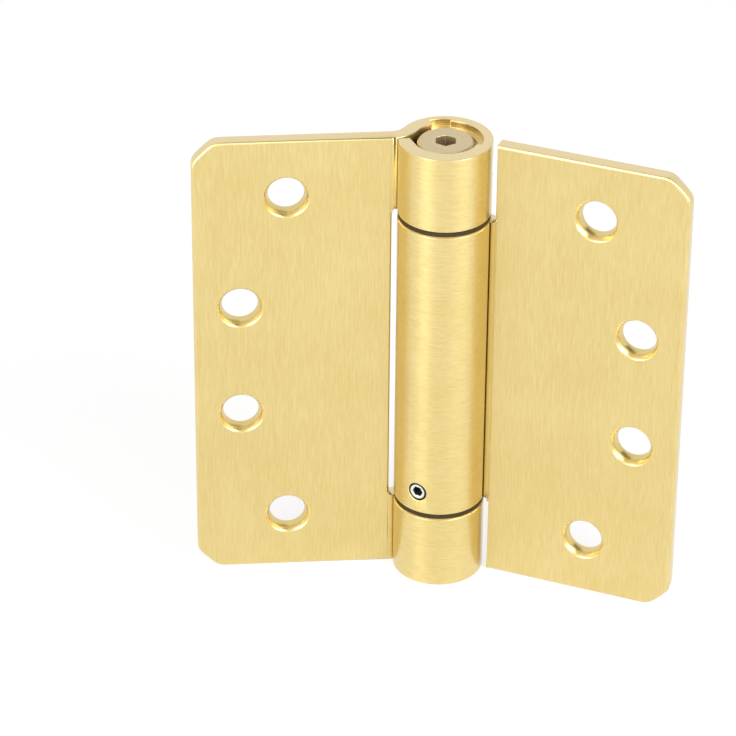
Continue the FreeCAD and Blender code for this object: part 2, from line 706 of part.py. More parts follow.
def check(bodies):
    """Stops the build where an object has failed or a solid isn't sound."""
    DOCUMENT.recompute()
    for item in DOCUMENT.Objects:
        if {"Invalid", "Error"} & set(item.State):
            raise ValueError(f"{item.Label} failed: {item.State}")
    for body in bodies:
        shape = body.Shape
        if shape.isNull() or not shape.isValid() or len(shape.Solids) != 1:
            raise ValueError(f"{body.Label} isn't one sound solid")


def main():
    bodies = [
        frame_leaf(),
        door_leaf(),
        tension_plug(),
        tension_pin(),
        torsion_spring(),
        guide_rod(),
        lower_spindle(),
        set_screw(),
        bushing("upper_bushing", MIDDLE_TOP),
        bushing("lower_bushing", "sizes.knuckle_height"),
        thrust_washer("upper_washer", MIDDLE_TOP),
        thrust_washer("lower_washer", "sizes.knuckle_height"),
        bottom_cap(),
    ]
    check(bodies)
    os.makedirs("parts", exist_ok=True)
    for body in bodies:
        body.Shape.exportStep(f"parts/{body.Label}.step")
        box = body.Shape.BoundBox
        print(f"{body.Label:16s} {body.Shape.Volume:10.1f} mm3  z {box.ZMin:7.2f} to {box.ZMax:7.2f}")


main()
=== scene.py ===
"""Dresses the spring hinge: leaves, plug, wound spring, threaded screw, finishes and studio."""

import logging
import math
from dataclasses import dataclass, field
from enum import Enum

import bmesh
import bpy
from mathutils import Matrix, Vector


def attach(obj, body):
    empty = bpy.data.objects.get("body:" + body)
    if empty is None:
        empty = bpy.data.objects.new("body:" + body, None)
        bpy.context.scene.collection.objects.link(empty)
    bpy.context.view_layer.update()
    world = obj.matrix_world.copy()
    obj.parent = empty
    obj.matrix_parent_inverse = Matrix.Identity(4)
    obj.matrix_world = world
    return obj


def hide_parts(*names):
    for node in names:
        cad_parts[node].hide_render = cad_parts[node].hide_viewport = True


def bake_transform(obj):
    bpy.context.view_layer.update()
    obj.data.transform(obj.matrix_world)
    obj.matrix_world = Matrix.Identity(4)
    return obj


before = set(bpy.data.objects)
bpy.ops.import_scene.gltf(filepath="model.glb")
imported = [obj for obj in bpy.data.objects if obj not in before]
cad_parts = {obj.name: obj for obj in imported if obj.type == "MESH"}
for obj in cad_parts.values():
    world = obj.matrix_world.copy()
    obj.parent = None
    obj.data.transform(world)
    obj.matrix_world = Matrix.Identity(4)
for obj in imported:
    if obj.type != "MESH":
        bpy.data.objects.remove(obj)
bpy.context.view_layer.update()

LOG = logging.getLogger("hinge")
MM = 0.001

# Where nearly all values of a noise lie, the octaves and the strength of finer noise in it, and
# how much a bump and the roughness follow it
NOISE_LOW, NOISE_HIGH = 0.3, 0.7
FINE_NOISE = (3.0, 0.6)
BUMP_STRENGTH = 0.4
ROUGHNESS_SPREAD = 0.2

# What counts as one point, as a flat face, as a sharp edge and as a scrap of surface
WELD = 0.02 * MM
MEETING = 0.004 * MM
NOTHING = 0.001 * MM
ON_SURFACE = 0.02 * MM
FLAT_ANGLE = math.radians(0.4)
SHARP_ANGLE = math.radians(28)
SHADED_SHARP_ANGLE = math.radians(38)
SMALL_AREA = 0.05 * MM**2
SCRAP_FACES = 10

# How a broken edge is made and shaded
EDGE_STEPS = 2
SHADING_WEIGHT = 90

Colour = tuple[float, float, float]
Cell = tuple[float, float, float]
Ring = list[Vector]
Socket = bpy.types.NodeSocket
Piece = bpy.types.Object


class Grain(Enum):
    """Which way a brushed surface is brushed."""

    SHEET = "upright on the plates and round the barrel"
    HOLES = "in rings round each screw hole"


class Mixed(Enum):
    """What a mix node mixes: its data type and the number of its first input for that."""

    NUMBERS = ("FLOAT", 2)
    VECTORS = ("VECTOR", 4)
    COLOURS = ("RGBA", 6)


class Graph:
    """The node graph of one material, with short calls for the nodes it needs."""

    def __init__(self, name: str) -> None:
        """Starts an empty material with a metal or plastic shader.

        Args:
            name: The material's name.
        """
        self.material = bpy.data.materials.new(name)
        self.material.use_nodes = True
        self.tree = self.material.node_tree
        self.shader = self.tree.nodes["Principled BSDF"]

    def constants(self, **values: float) -> None:
        """Sets values that are the same all over on the shader's own sockets.

        Args:
            values: Socket names, with _ for a space, and their values.
        """
        for name, value in values.items():
            self.shader.inputs[name.replace("_", " ")].default_value = value

    def node(self, kind: str, **settings: object) -> bpy.types.Node:
        """Adds a node.

        Args:
            kind: The node's type, without its ShaderNode prefix.
            settings: Properties of the node.

        Returns:
            The new node.
        """
        node = self.tree.nodes.new(f"ShaderNode{kind}")
        for name, value in settings.items():
            setattr(node, name, value)
        return node

    def feed(self, socket: Socket, value: object) -> None:
        """Links another node's output to a socket, or sets the socket's number.

        Args:
            socket: The input socket.
            value: An output socket, a number, a vector or a colour.
        """
        if isinstance(value, Socket):
            self.tree.links.new(value, socket)
        else:
            socket.default_value = (*value, 1.0) if socket.type == "RGBA" else value

    def math(self, operation: str, *values: object) -> Socket:
        """Adds a math node.

        Args:
            operation: The node's operation.
            values: Its inputs, in order.

        Returns:
            The result's socket.
        """
        node = self.node("Math", operation=operation)
        for socket, value in zip(node.inputs, values):
            self.feed(socket, value)
        return node.outputs[0]

    def vector(self, operation: str, *values: object) -> Socket:
        """Adds a vector math node.

        Args:
            operation: The node's operation.
            values: Its vector inputs, in order.

        Returns:
            The socket of the vector, or of the number where the operation gives one.
        """
        node = self.node("VectorMath", operation=operation)
        for socket, value in zip(node.inputs, values):
            self.feed(socket, value)
        return node.outputs["Value" if operation in ("LENGTH", "DISTANCE") else "Vector"]

    def ramp(self, value: object, start: float, end: float) -> Socket:
        """Adds a smooth step from 0 to 1.

        Args:
            value: What is compared.
            start: Where the result is 0.
            end: Where the result is 1.

        Returns:
            The result's socket.
        """
        node = self.node("MapRange", interpolation_type="SMOOTHSTEP")
        self.feed(node.inputs["Value"], value)
        self.feed(node.inputs["From Min"], start)
        self.feed(node.inputs["From Max"], end)
        return node.outputs["Result"]

    def noise(
        self, place: Socket, cell: float | Cell, detail: float = 2.0, rough: float = 0.5
    ) -> Socket:
        """Adds a noise texture.

        Args:
            place: The coordinates' socket, in metres.
            cell: The size of its cells, in all or along X, Y and Z, in metres.
            detail: Octaves of finer noise.
            rough: How much the finer noise counts.

        Returns:
            The socket of the noise, about 0.5 in the middle.
        """
        size = cell if isinstance(cell, tuple) else (cell, cell, cell)
        node = self.node("TexNoise", noise_dimensions="3D")
        self.feed(node.inputs["Vector"], self.vector("DIVIDE", place, size))
        self.feed(node.inputs["Scale"], 1.0)
        self.feed(node.inputs["Detail"], detail)
        self.feed(node.inputs["Roughness"], rough)
        return node.outputs[0]

    def mix(
        self, share: object, first: object, second: object, kind: Mixed = Mixed.NUMBERS
    ) -> Socket:
        """Mixes two numbers, vectors or colours.

        Args:
            share: How much of the second one.
            first: A socket or value.
            second: A socket or value.
            kind: What they are.

        Returns:
            The mixed one's socket.
        """
        data_type, place = kind.value
        node = self.node("Mix", data_type=data_type)
        self.feed(node.inputs[0], share)
        self.feed(node.inputs[place], first)
        self.feed(node.inputs[place + 1], second)
        return node.outputs[place // 2 - 1]

    def tint(self, value: Socket, colour: Colour, pale: Colour) -> None:
        """Colours the shader between two colours, as a noise goes from low to high.

        Args:
            value: The noise's socket.
            colour: The colour where it is low.
            pale: The colour where it is high.
        """
        shade = self.ramp(value, NOISE_LOW, NOISE_HIGH)
        mixed = self.mix(shade, colour, pale, Mixed.COLOURS)
        self.feed(self.shader.inputs["Base Color"], mixed)

    def roughen(self, value: Socket, middle: float, spread: float = ROUGHNESS_SPREAD) -> None:
        """Varies the roughness with a noise.

        Args:
            value: The noise's socket.
            middle: The roughness where the noise is 0.5.
            spread: How much the roughness follows the noise.
        """
        rough = self.math("MULTIPLY_ADD", value, spread, middle - spread / 2)
        self.feed(self.shader.inputs["Roughness"], rough)

    def bump(self, height: object, depth: float, strength: float = BUMP_STRENGTH) -> None:
        """Gives the shader a bump.

        Args:
            height: The socket of the height, from 0 to 1.
            depth: How deep the bump is, in metres.
            strength: How strongly it shows.
        """
        node = self.node("Bump")
        self.feed(node.inputs["Strength"], strength)
        self.feed(node.inputs["Distance"], depth)
        self.feed(node.inputs["Height"], height)
        self.feed(self.shader.inputs["Normal"], node.outputs["Normal"])


@dataclass(frozen=True)
class SatinBrass:
    """Brushed and lacquered brass plating on a sheet that is partly rolled into a barrel.

    The plates are brushed upright and the barrel round its axis. line and run are the width and
    length of one brush mark.
    """

    name: str
    turn: float
    holes: tuple[tuple[float, float], ...]
    grain: Grain = Grain.SHEET
    colour: Colour = (0.715, 0.545, 0.182)
    pale: Colour = (0.790, 0.634, 0.262)
    cut: Colour = (0.78, 0.62, 0.31)
    barrel_radius: float = 9.525 * MM
    barrel_end: tuple[float, float] = (1.01, 1.12)
    edge_tilt: tuple[float, float] = (0.6, 0.9)
    line: float = 0.22 * MM
    run: float = 3.4 * MM
    barrel_run: float = 0.6
    broad_line: float = 9.0
    broad_run: float = 6.0
    broad_share: float = 0.12
    cloud: float = 16.0 * MM
    cloud_share: float = 0.22
    tones: tuple[float, float] = (0.33, 0.68)
    bump_depth: float = 0.012 * MM
    roughness: float = 0.34
    anisotropy: float = 0.6
    lacquer: float = 0.8
    lacquer_roughness: float = 0.25
    lacquer_index: float = 1.65

    def place(self, graph: Graph) -> Socket:
        """Adds coordinates that are turned so that X runs along the leaf.

        Args:
            graph: The material's graph.

        Returns:
            The socket of the coordinates, in metres.
        """
        node = graph.node("Mapping", vector_type="POINT")
        node.inputs["Rotation"].default_value = (0.0, 0.0, self.turn)
        graph.feed(node.inputs["Vector"], graph.node("TexCoord").outputs["Object"])
        return node.outputs["Vector"]

    def hole_distance(self, graph: Graph, place: Socket) -> Socket:
        """Distance to the nearest screw hole's axis.

        Args:
            graph: The material's graph.
            place: Coordinates along the leaf.

        Returns:
            The socket of the distance, in metres.
        """
        flat = graph.vector("MULTIPLY", place, (1.0, 0.0, 1.0))
        nearest = None
        for across, level in self.holes:
            distance = graph.vector("DISTANCE", flat, (across, 0.0, level))
            nearest = distance if nearest is None else graph.math("MINIMUM", nearest, distance)
        return nearest

    def material(self) -> bpy.types.Material:
        """Builds the finish.

        Returns:
            The material.
        """
        graph = Graph(self.name)
        place = self.place(graph)
        normal = graph.node("NewGeometry").outputs["Normal"]
        facing = graph.node("SeparateXYZ")
        graph.feed(facing.inputs[0], normal)

        # Where the surface is barrel rather than plate, and where it is a sheared edge
        flat = graph.vector("MULTIPLY", place, (1.0, 1.0, 0.0))
        radius = graph.vector("LENGTH", flat)
        start, end = (self.barrel_radius * share for share in self.barrel_end)
        barrel = graph.math("SUBTRACT", 1.0, graph.ramp(radius, start, end))
        upward = graph.math("ABSOLUTE", facing.outputs["Z"])

        line, run = self.line, self.run
        if self.grain is Grain.HOLES:
            cut = 0.0
            rings = graph.node("CombineXYZ")
            graph.feed(rings.inputs["X"], self.hole_distance(graph, place))
            brushed = graph.noise(rings.outputs[0], line)
            broad = brushed
        else:
            cut = graph.ramp(upward, *self.edge_tilt)
            upright = graph.noise(place, (line, line, run), *FINE_NOISE)
            short = run * self.barrel_run
            around = graph.noise(place, (short, short, line), *FINE_NOISE)
            brushed = graph.mix(barrel, upright, around)
            wide, long = line * self.broad_line, run * self.broad_run
            wide_upright = graph.noise(place, (wide, wide, long))
            wide_around = graph.noise(place, (run, run, wide))
            broad = graph.mix(barrel, wide_upright, wide_around)
        cloud = graph.noise(place, self.cloud, 1.0)
        fine = graph.noise(place, line)

        streak = graph.mix(self.broad_share, brushed, broad)
        tone = graph.mix(self.cloud_share, streak, cloud)
        shade = graph.ramp(tone, *self.tones)
        colour = graph.mix(shade, self.colour, self.pale, Mixed.COLOURS)
        colour = graph.mix(cut, colour, self.cut, Mixed.COLOURS)
        graph.feed(graph.shader.inputs["Base Color"], colour)

        grain = graph.mix(cut, brushed, fine)
        graph.roughen(grain, self.roughness)
        graph.bump(grain, self.bump_depth)

        # Light spreads across the brush lines
        level = graph.vector("CROSS_PRODUCT", normal, (0.0, 0.0, 1.0))
        across = graph.mix(barrel, level, (0.0, 0.0, 1.0), Mixed.VECTORS)
        across = graph.mix(cut, across, (1.0, 0.0, 0.0), Mixed.VECTORS)
        graph.feed(graph.shader.inputs["Tangent"], across)
        graph.constants(
            Metallic=1.0,
            Anisotropic=self.anisotropy,
            Coat_Weight=self.lacquer,
            Coat_Roughness=self.lacquer_roughness,
            Coat_IOR=self.lacquer_index,
        )
        return graph.material


@dataclass(frozen=True)
class TurnedMetal:
    """Metal turned on a lathe about the barrel axis, with fine rings and a little speckle."""

    name: str
    colour: Colour
    pale: Colour
    roughness: float = 0.36
    line: float = 0.12 * MM
    speckle: float = 0.35 * MM
    depth: float = 0.006 * MM
    mottle: float = 0.35

    def material(self) -> bpy.types.Material:
        """Builds the finish.

        Returns:
            The material.
        """
        graph = Graph(self.name)
        place = graph.node("TexCoord").outputs["Object"]
        flat = graph.vector("MULTIPLY", place, (1.0, 1.0, 0.0))
        parts = graph.node("SeparateXYZ")
        graph.feed(parts.inputs[0], place)
        rings = graph.node("CombineXYZ")
        graph.feed(rings.inputs["X"], graph.vector("LENGTH", flat))
        graph.feed(rings.inputs["Z"], parts.outputs["Z"])
        turned = graph.noise(rings.outputs[0], self.line)
        spots = graph.noise(place, self.speckle, *FINE_NOISE)
        tone = graph.mix(self.mottle, turned, spots)
        graph.tint(tone, self.colour, self.pale)
        graph.roughen(tone, self.roughness)
        graph.bump(tone, self.depth)
        graph.constants(Metallic=1.0)
        return graph.material


@dataclass(frozen=True)
class SpringWire:
    """Oiled, cold drawn spring wire with faint scratches along it."""

    name: str = "spring_wire"
    colour: Colour = (0.20, 0.20, 0.215)
    pale: Colour = (0.36, 0.36, 0.37)
    scratch: Cell = (2.0 * MM, 2.0 * MM, 0.08 * MM)
    oil: float = 3.0 * MM
    depth: float = 0.005 * MM
    strength: float = 0.3
    roughness: float = 0.33
    roughness_spread: float = 0.3
    oil_coat: float = 0.3
    oil_roughness: float = 0.1

    def material(self) -> bpy.types.Material:
        """Builds the finish.

        Returns:
            The material.
        """
        graph = Graph(self.name)
        place = graph.node("TexCoord").outputs["Object"]
        drawn = graph.noise(place, self.scratch)
        oil = graph.noise(place, self.oil)
        graph.tint(graph.mix(0.5, drawn, oil), self.colour, self.pale)
        graph.roughen(oil, self.roughness, self.roughness_spread)
        graph.bump(drawn, self.depth, self.strength)
        graph.constants(
            Metallic=1.0,
            Coat_Weight=self.oil_coat,
            Coat_Roughness=self.oil_roughness,
        )
        return graph.material


@dataclass(frozen=True)
class MouldedNylon:
    """Dark moulded nylon with a fine, slightly waxy surface."""

    name: str = "dark_nylon_moulded"
    colour: Colour = (0.034, 0.022, 0.010)
    pale: Colour = (0.058, 0.040, 0.018)
    pebble: float = 0.25 * MM
    depth: float = 0.01 * MM
    strength: float = 0.3
    roughness: float = 0.525
    roughness_spread: float = 0.25
    specular: float = 0.06

    def material(self) -> bpy.types.Material:
        """Builds the finish.

        Returns:
            The material.
        """
        graph = Graph(self.name)
        place = graph.node("TexCoord").outputs["Object"]
        pebble = graph.noise(place, self.pebble, *FINE_NOISE)
        graph.tint(pebble, self.colour, self.pale)
        graph.roughen(pebble, self.roughness, self.roughness_spread)
        graph.bump(pebble, self.depth, self.strength)
        graph.constants(Metallic=0.0, Specular_IOR_Level=self.specular)
        return graph.material


@dataclass(frozen=True)
class ZincAndPaintedShadeScrew:
    """Bright zinc on the face of the set screw, or painted shade on its thread and socket: a
    near-black, non-metal colour that stands in for the shade in its hole and socket.
    """

    name: str
    colour: Colour
    pale: Colour
    roughness: float
    metallic: float = 1.0
    specular: float = 0.5
    spot: float = 0.3 * MM
    depth: float = 0.004 * MM
    strength: float = 0.3

    def material(self) -> bpy.types.Material:
        """Builds the finish.

        Returns:
            The material.
        """
        graph = Graph(self.name)
        place = graph.node("TexCoord").outputs["Object"]
        spots = graph.noise(place, self.spot, *FINE_NOISE)
        graph.tint(spots, self.colour, self.pale)
        graph.roughen(spots, self.roughness)
        graph.bump(spots, self.depth, self.strength)
        graph.constants(Metallic=self.metallic, Specular_IOR_Level=self.specular)
        return graph.material


def loft(name: str, rings: list[Ring]) -> Piece:
    """Joins closed rings of equally many points into one skin and closes both ends.

    Args:
        name: The new piece's name.
        rings: The rings in order.

    Returns:
        The new piece.
    """
    mesh = bmesh.new()
    rows = [[mesh.verts.new(point) for point in ring] for ring in rings]
    count = len(rows[0])
    for row, following in zip(rows, rows[1:]):
        for index in range(count):
            after = (index + 1) % count
            mesh.faces.new((row[index], row[after], following[after], following[index]))
    for row in (rows[0], rows[-1]):
        middle = mesh.verts.new(sum((vert.co for vert in row), Vector()) / count)
        for index in range(count):
            mesh.faces.new((row[index], row[(index + 1) % count], middle))
    bmesh.ops.recalc_face_normals(mesh, faces=mesh.faces)
    return finished(name, mesh)


def finished(name: str, mesh: bmesh.types.BMesh) -> Piece:
    """Turns an edited mesh into a smooth piece with sharp edges where it turns sharply.

    Args:
        name: The new piece's name.
        mesh: The edited mesh, which is freed.

    Returns:
        The new piece.
    """
    data = bpy.data.meshes.new(name)
    for face in mesh.faces:
        face.smooth = True
    mesh.to_mesh(data)
    mesh.free()
    data.set_sharp_from_angle(angle=SHADED_SHARP_ANGLE)
    piece = bpy.data.objects.new(name, data)
    bpy.context.scene.collection.objects.link(piece)
    return piece


def surface_of(node: str) -> bmesh.types.BMesh:
    """Copies a CAD node's surface, with its flat faces whole.

    Args:
        node: The CAD node.

    Returns:
        The edited mesh.
    """
    mesh = bmesh.new()
    mesh.from_mesh(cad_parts[node].data)
    bmesh.ops.remove_doubles(mesh, verts=mesh.verts, dist=WELD)
    bmesh.ops.dissolve_limit(mesh, angle_limit=FLAT_ANGLE, verts=mesh.verts, edges=mesh.edges)
    for face in mesh.faces:
        face.material_index = 0
    return mesh


def sharp_edges(mesh: bmesh.types.BMesh) -> list[bmesh.types.BMEdge]:
    """The edges at which the surface turns sharply."""
    return [edge for edge in mesh.edges if edge.calc_face_angle(0.0) > SHARP_ANGLE]


def rounded(
    mesh: bmesh.types.BMesh,
    edges: list[bmesh.types.BMEdge],
    width: float,
    steps: int,
) -> None:
    """Rounds edges, with the second material on the new faces.

    Args:
        mesh: The edited mesh.
        edges: The edges.
        width: How wide the rounding is, in metres.
        steps: How many faces it has across.
    """
    bmesh.ops.bevel(
        mesh,
        geom=edges,
        offset=width,
        offset_type="OFFSET",
        segments=steps,
        profile=0.5,
        affect="EDGES",
        clamp_overlap=False,
        material=1,
    )


def islands(mesh: bmesh.types.BMesh) -> list[list[bmesh.types.BMFace]]:
    """Groups the faces that hang together.

    Args:
        mesh: The edited mesh.

    Returns:
        The groups.
    """
    groups = []
    waiting = set(mesh.faces)
    while waiting:
        group = [waiting.pop()]
        for face in group:
            for edge in face.edges:
                if len(edge.link_faces) == 2:
                    beyond = [other for other in edge.link_faces if other in waiting]
                    waiting.difference_update(beyond)
                    group.extend(beyond)
        groups.append(group)
    return groups


def doubled(face: bmesh.types.BMFace) -> bool:
    """Whether another face has the same corners."""
    others = (other for other in face.verts[0].link_faces if other is not face)
    return any(set(other.verts) == set(face.verts) for other in others)


def clean(mesh: bmesh.types.BMesh) -> None:
    """Joins points that nearly meet and takes out the scraps of surface that this leaves.

    Args:
        mesh: The edited mesh.
    """
    bmesh.ops.remove_doubles(mesh, verts=mesh.verts, dist=MEETING)
    coarse = [face for face in mesh.faces if len(face.verts) > 4 or face.calc_area() < SMALL_AREA]
    bmesh.ops.triangulate(mesh, faces=coarse)
    bmesh.ops.dissolve_degenerate(mesh, edges=mesh.edges, dist=NOTHING)
    bmesh.ops.remove_doubles(mesh, verts=mesh.verts, dist=MEETING)
    pairs = [face for face in mesh.faces if doubled(face)]
    bmesh.ops.delete(mesh, geom=pairs, context="FACES")
    knots = [edge for edge in mesh.edges if len(edge.link_faces) > 2]
    bmesh.ops.collapse(mesh, edges=knots)
    bmesh.ops.dissolve_degenerate(mesh, edges=mesh.edges, dist=NOTHING)
    flaps = [face for face in mesh.faces if any(edge.is_boundary for edge in face.edges)]
    bmesh.ops.delete(mesh, geom=flaps, context="FACES")
    scraps = [face for group in islands(mesh) if len(group) < SCRAP_FACES for face in group]
    bmesh.ops.delete(mesh, geom=scraps, context="FACES")


def softened(name: str, mesh: bmesh.types.BMesh, width: float) -> Piece:
    """Breaks a mesh's sharp edges, as tumbling and plating do, and makes it a piece.

    Args:
        name: The new piece's name.
        mesh: The edited mesh, which is freed.
        width: How wide the broken edge is, in metres.

    Returns:
        The new piece, whose broken edges use its second material.
    """
    rounded(mesh, sharp_edges(mesh), width, EDGE_STEPS)
    clean(mesh)
    piece = finished(name, mesh)
    weighted = piece.modifiers.new("even_shading", "WEIGHTED_NORMAL")
    weighted.keep_sharp = True
    weighted.weight = SHADING_WEIGHT
    return piece


def square(name: str, size: float, level: float) -> Piece:
    """Makes a level square about the axis.

    Args:
        name: The square's name.
        size: The length of its side, in metres.
        level: How high it lies, in metres.

    Returns:
        The square.
    """
    half = size / 2
    mesh = bmesh.new()
    corners = ((-half, -half), (half, -half), (half, half), (-half, half))
    mesh.faces.new([mesh.verts.new((x, y, level)) for x, y in corners])
    return finished(name, mesh)


def away(azimuth: float, elevation: float) -> Vector:
    """The direction from the hinge to a place round it.

    Args:
        azimuth: The place's angle from the front, in degrees.
        elevation: Its angle above the floor, in degrees.

    Returns:
        A vector of length 1.
    """
    turn, rise = math.radians(azimuth), math.radians(elevation)
    across = math.cos(rise)
    return Vector((math.sin(turn) * across, -math.cos(turn) * across, math.sin(rise)))


def dress(piece: Piece, *materials: bpy.types.Material) -> None:
    """Gives a piece its materials, in the order of their slots.

    Args:
        piece: The piece.
        materials: Its materials.
    """
    slots = piece.data.materials
    for index, material in enumerate(materials):
        if index < len(slots):
            slots[index] = material
        else:
            slots.append(material)


@dataclass
class Leaf:
    """A leaf of the hinge: plate and knuckles rolled from one sheet.

    side is -1 for the leaf on the left and 1 for the one on the right, and turn is how far the
    leaf is swung from the X axis.
    """

    node: str
    body: str
    side: int
    turn: float
    width: float = 50.8 * MM
    height: float = 101.6 * MM
    front: float = 0.8 * MM
    near: float = 31.75 * MM
    far: float = 41.275 * MM
    pitch: float = 25.4 * MM
    drilled_radius: float = 3.5 * MM
    reamed_radius: float = 3.7 * MM
    sink_radius: float = 4.75 * MM
    sink_depth: float = 1.8 * MM
    sheet: float = 3.0 * MM
    corner_radius: float = 6.35 * MM
    corner_cut: float = 4.3 * MM
    corner_ease: float = 16.0
    plate_start: float = 10.5 * MM
    rolled_edge: float = 0.5 * MM
    rolled_steps: int = 4
    broken_edge: float = 0.14 * MM
    margin: float = 0.1 * MM
    clearance: float = 1.0 * MM
    piece: Piece = field(init=False)

    def holes(self) -> tuple[tuple[float, float], ...]:
        """Where the four screw holes are: distance along the leaf and height."""
        columns = (self.near, self.far, self.far, self.near)
        return tuple(
            (self.side * column, self.height / 2 + (row - 1.5) * self.pitch)
            for row, column in enumerate(columns)
        )

    def hole_near(self, place: Vector) -> tuple[float, float, float]:
        """Finds the nearest hole.

        Args:
            place: A point, with the leaf along X.

        Returns:
            The hole's place across and up, and how far the point is from its axis.
        """
        distances = [
            (math.hypot(place.x - across, place.z - level), across, level)
            for across, level in self.holes()
        ]
        distance, across, level = min(distances)
        return across, level, distance

    def reamed(self, place: Vector) -> Vector:
        """Moves a point of a hole's wall out to the hole's finished size and its sink's full depth.

        Args:
            place: The point, with the leaf along X.

        Returns:
            The moved point.
        """
        across, level, distance = self.hole_near(place)
        if abs(distance - self.drilled_radius) > ON_SURFACE:
            return place
        growth = self.reamed_radius / distance
        depth = place.y - self.front
        if self.margin < depth < self.sheet - self.margin:
            depth = self.sink_depth
        return Vector((
            across + (place.x - across) * growth,
            self.front + depth,
            level + (place.z - level) * growth,
        ))

    def cropped(self, place: Vector) -> Vector:
        """Moves a point of a round corner onto the cropped corner, with its eased ends.

        Args:
            place: The point, with the leaf along X.

        Returns:
            The moved point.
        """
        reach = self.corner_radius
        across = abs(place.x) - (self.width - reach)
        level = abs(place.z - self.height / 2) - (self.height / 2 - reach)
        if across <= 0.0 or level <= 0.0:
            return place
        angle = math.atan2(level, across)
        lines = (
            reach / math.cos(angle),
            reach / math.sin(angle),
            (2 * reach - self.corner_cut) / (math.cos(angle) + math.sin(angle)),
        )
        power = self.corner_ease
        distance = sum(line**-power for line in lines) ** (-1 / power)
        growth = distance / math.hypot(across, level)
        return Vector((
            math.copysign(self.width - reach + across * growth, place.x),
            place.y,
            self.height / 2
            + math.copysign(self.height / 2 - reach + level * growth, place.z - self.height / 2),
        ))

    def on_outline(self, place: Vector) -> bool:
        """Whether a point lies on the outline of the plate's front."""
        flat = abs(place.y - self.front) < ON_SURFACE and abs(place.x) > self.plate_start
        return flat and self.hole_near(place)[2] > self.sink_radius + self.clearance

    def in_hole(self, polygon: bpy.types.MeshPolygon) -> bool:
        """Whether a face of the piece belongs to a countersunk hole.

        Args:
            polygon: The face.

        Returns:
            True where its middle and all its corners are at one of the holes.
        """
        places = [self.piece.data.vertices[index].co for index in polygon.vertices]
        reach = max(self.hole_near(place)[2] for place in places)
        inside = self.hole_near(polygon.center)[2] < self.sink_radius
        return inside and reach < self.sink_radius + self.margin

    def build(self) -> list[Piece]:
        """Makes the softened leaf and marks the faces of its holes.

        Returns:
            The leaf, alone in its list.
        """
        mesh = surface_of(self.node)
        straight = Matrix.Rotation(-self.turn, 3, "Z")
        for vert in mesh.verts:
            vert.co = self.cropped(self.reamed(straight @ vert.co))
        outline = [
            edge
            for edge in sharp_edges(mesh)
            if all(self.on_outline(vert.co) for vert in edge.verts)
        ]
        rounded(mesh, outline, self.rolled_edge, self.rolled_steps)
        self.piece = softened(f"{self.node}_softened", mesh, self.broken_edge)
        for vert in self.piece.data.vertices:
            vert.co.z = min(max(vert.co.z, 0.0), self.height)
        for polygon in self.piece.data.polygons:
            if self.in_hole(polygon):
                polygon.material_index = 2
        self.piece.data.transform(straight.inverted().to_4x4())
        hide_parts(self.node)
        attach(self.piece, self.body)
        return [self.piece]

    def finish(self) -> None:
        """Gives the leaf its brushed faces, its rounded edges and its countersinks. The rounded
        edges' colour is a little paler than the faces', a painted highlight.
        """
        name, holes, straight = self.node, self.holes(), -self.turn
        faces = SatinBrass(f"{name}_brushed", straight, holes)
        # The rounded edges' colour is a little paler than the faces': a painted highlight on them,
        # with a rougher finish
        edges = SatinBrass(
            f"{name}_edge",
            straight,
            holes,
            colour=(0.74, 0.57, 0.205),
            pale=(0.82, 0.665, 0.295),
            roughness=0.42,
        )
        sinks = SatinBrass(
            f"{name}_countersink",
            straight,
            holes,
            grain=Grain.HOLES,
            colour=(0.70, 0.54, 0.20),
            pale=(0.78, 0.63, 0.28),
            roughness=0.3,
            anisotropy=0.0,
            lacquer=0.2,
        )
        dress(self.piece, faces.material(), edges.material(), sinks.material())


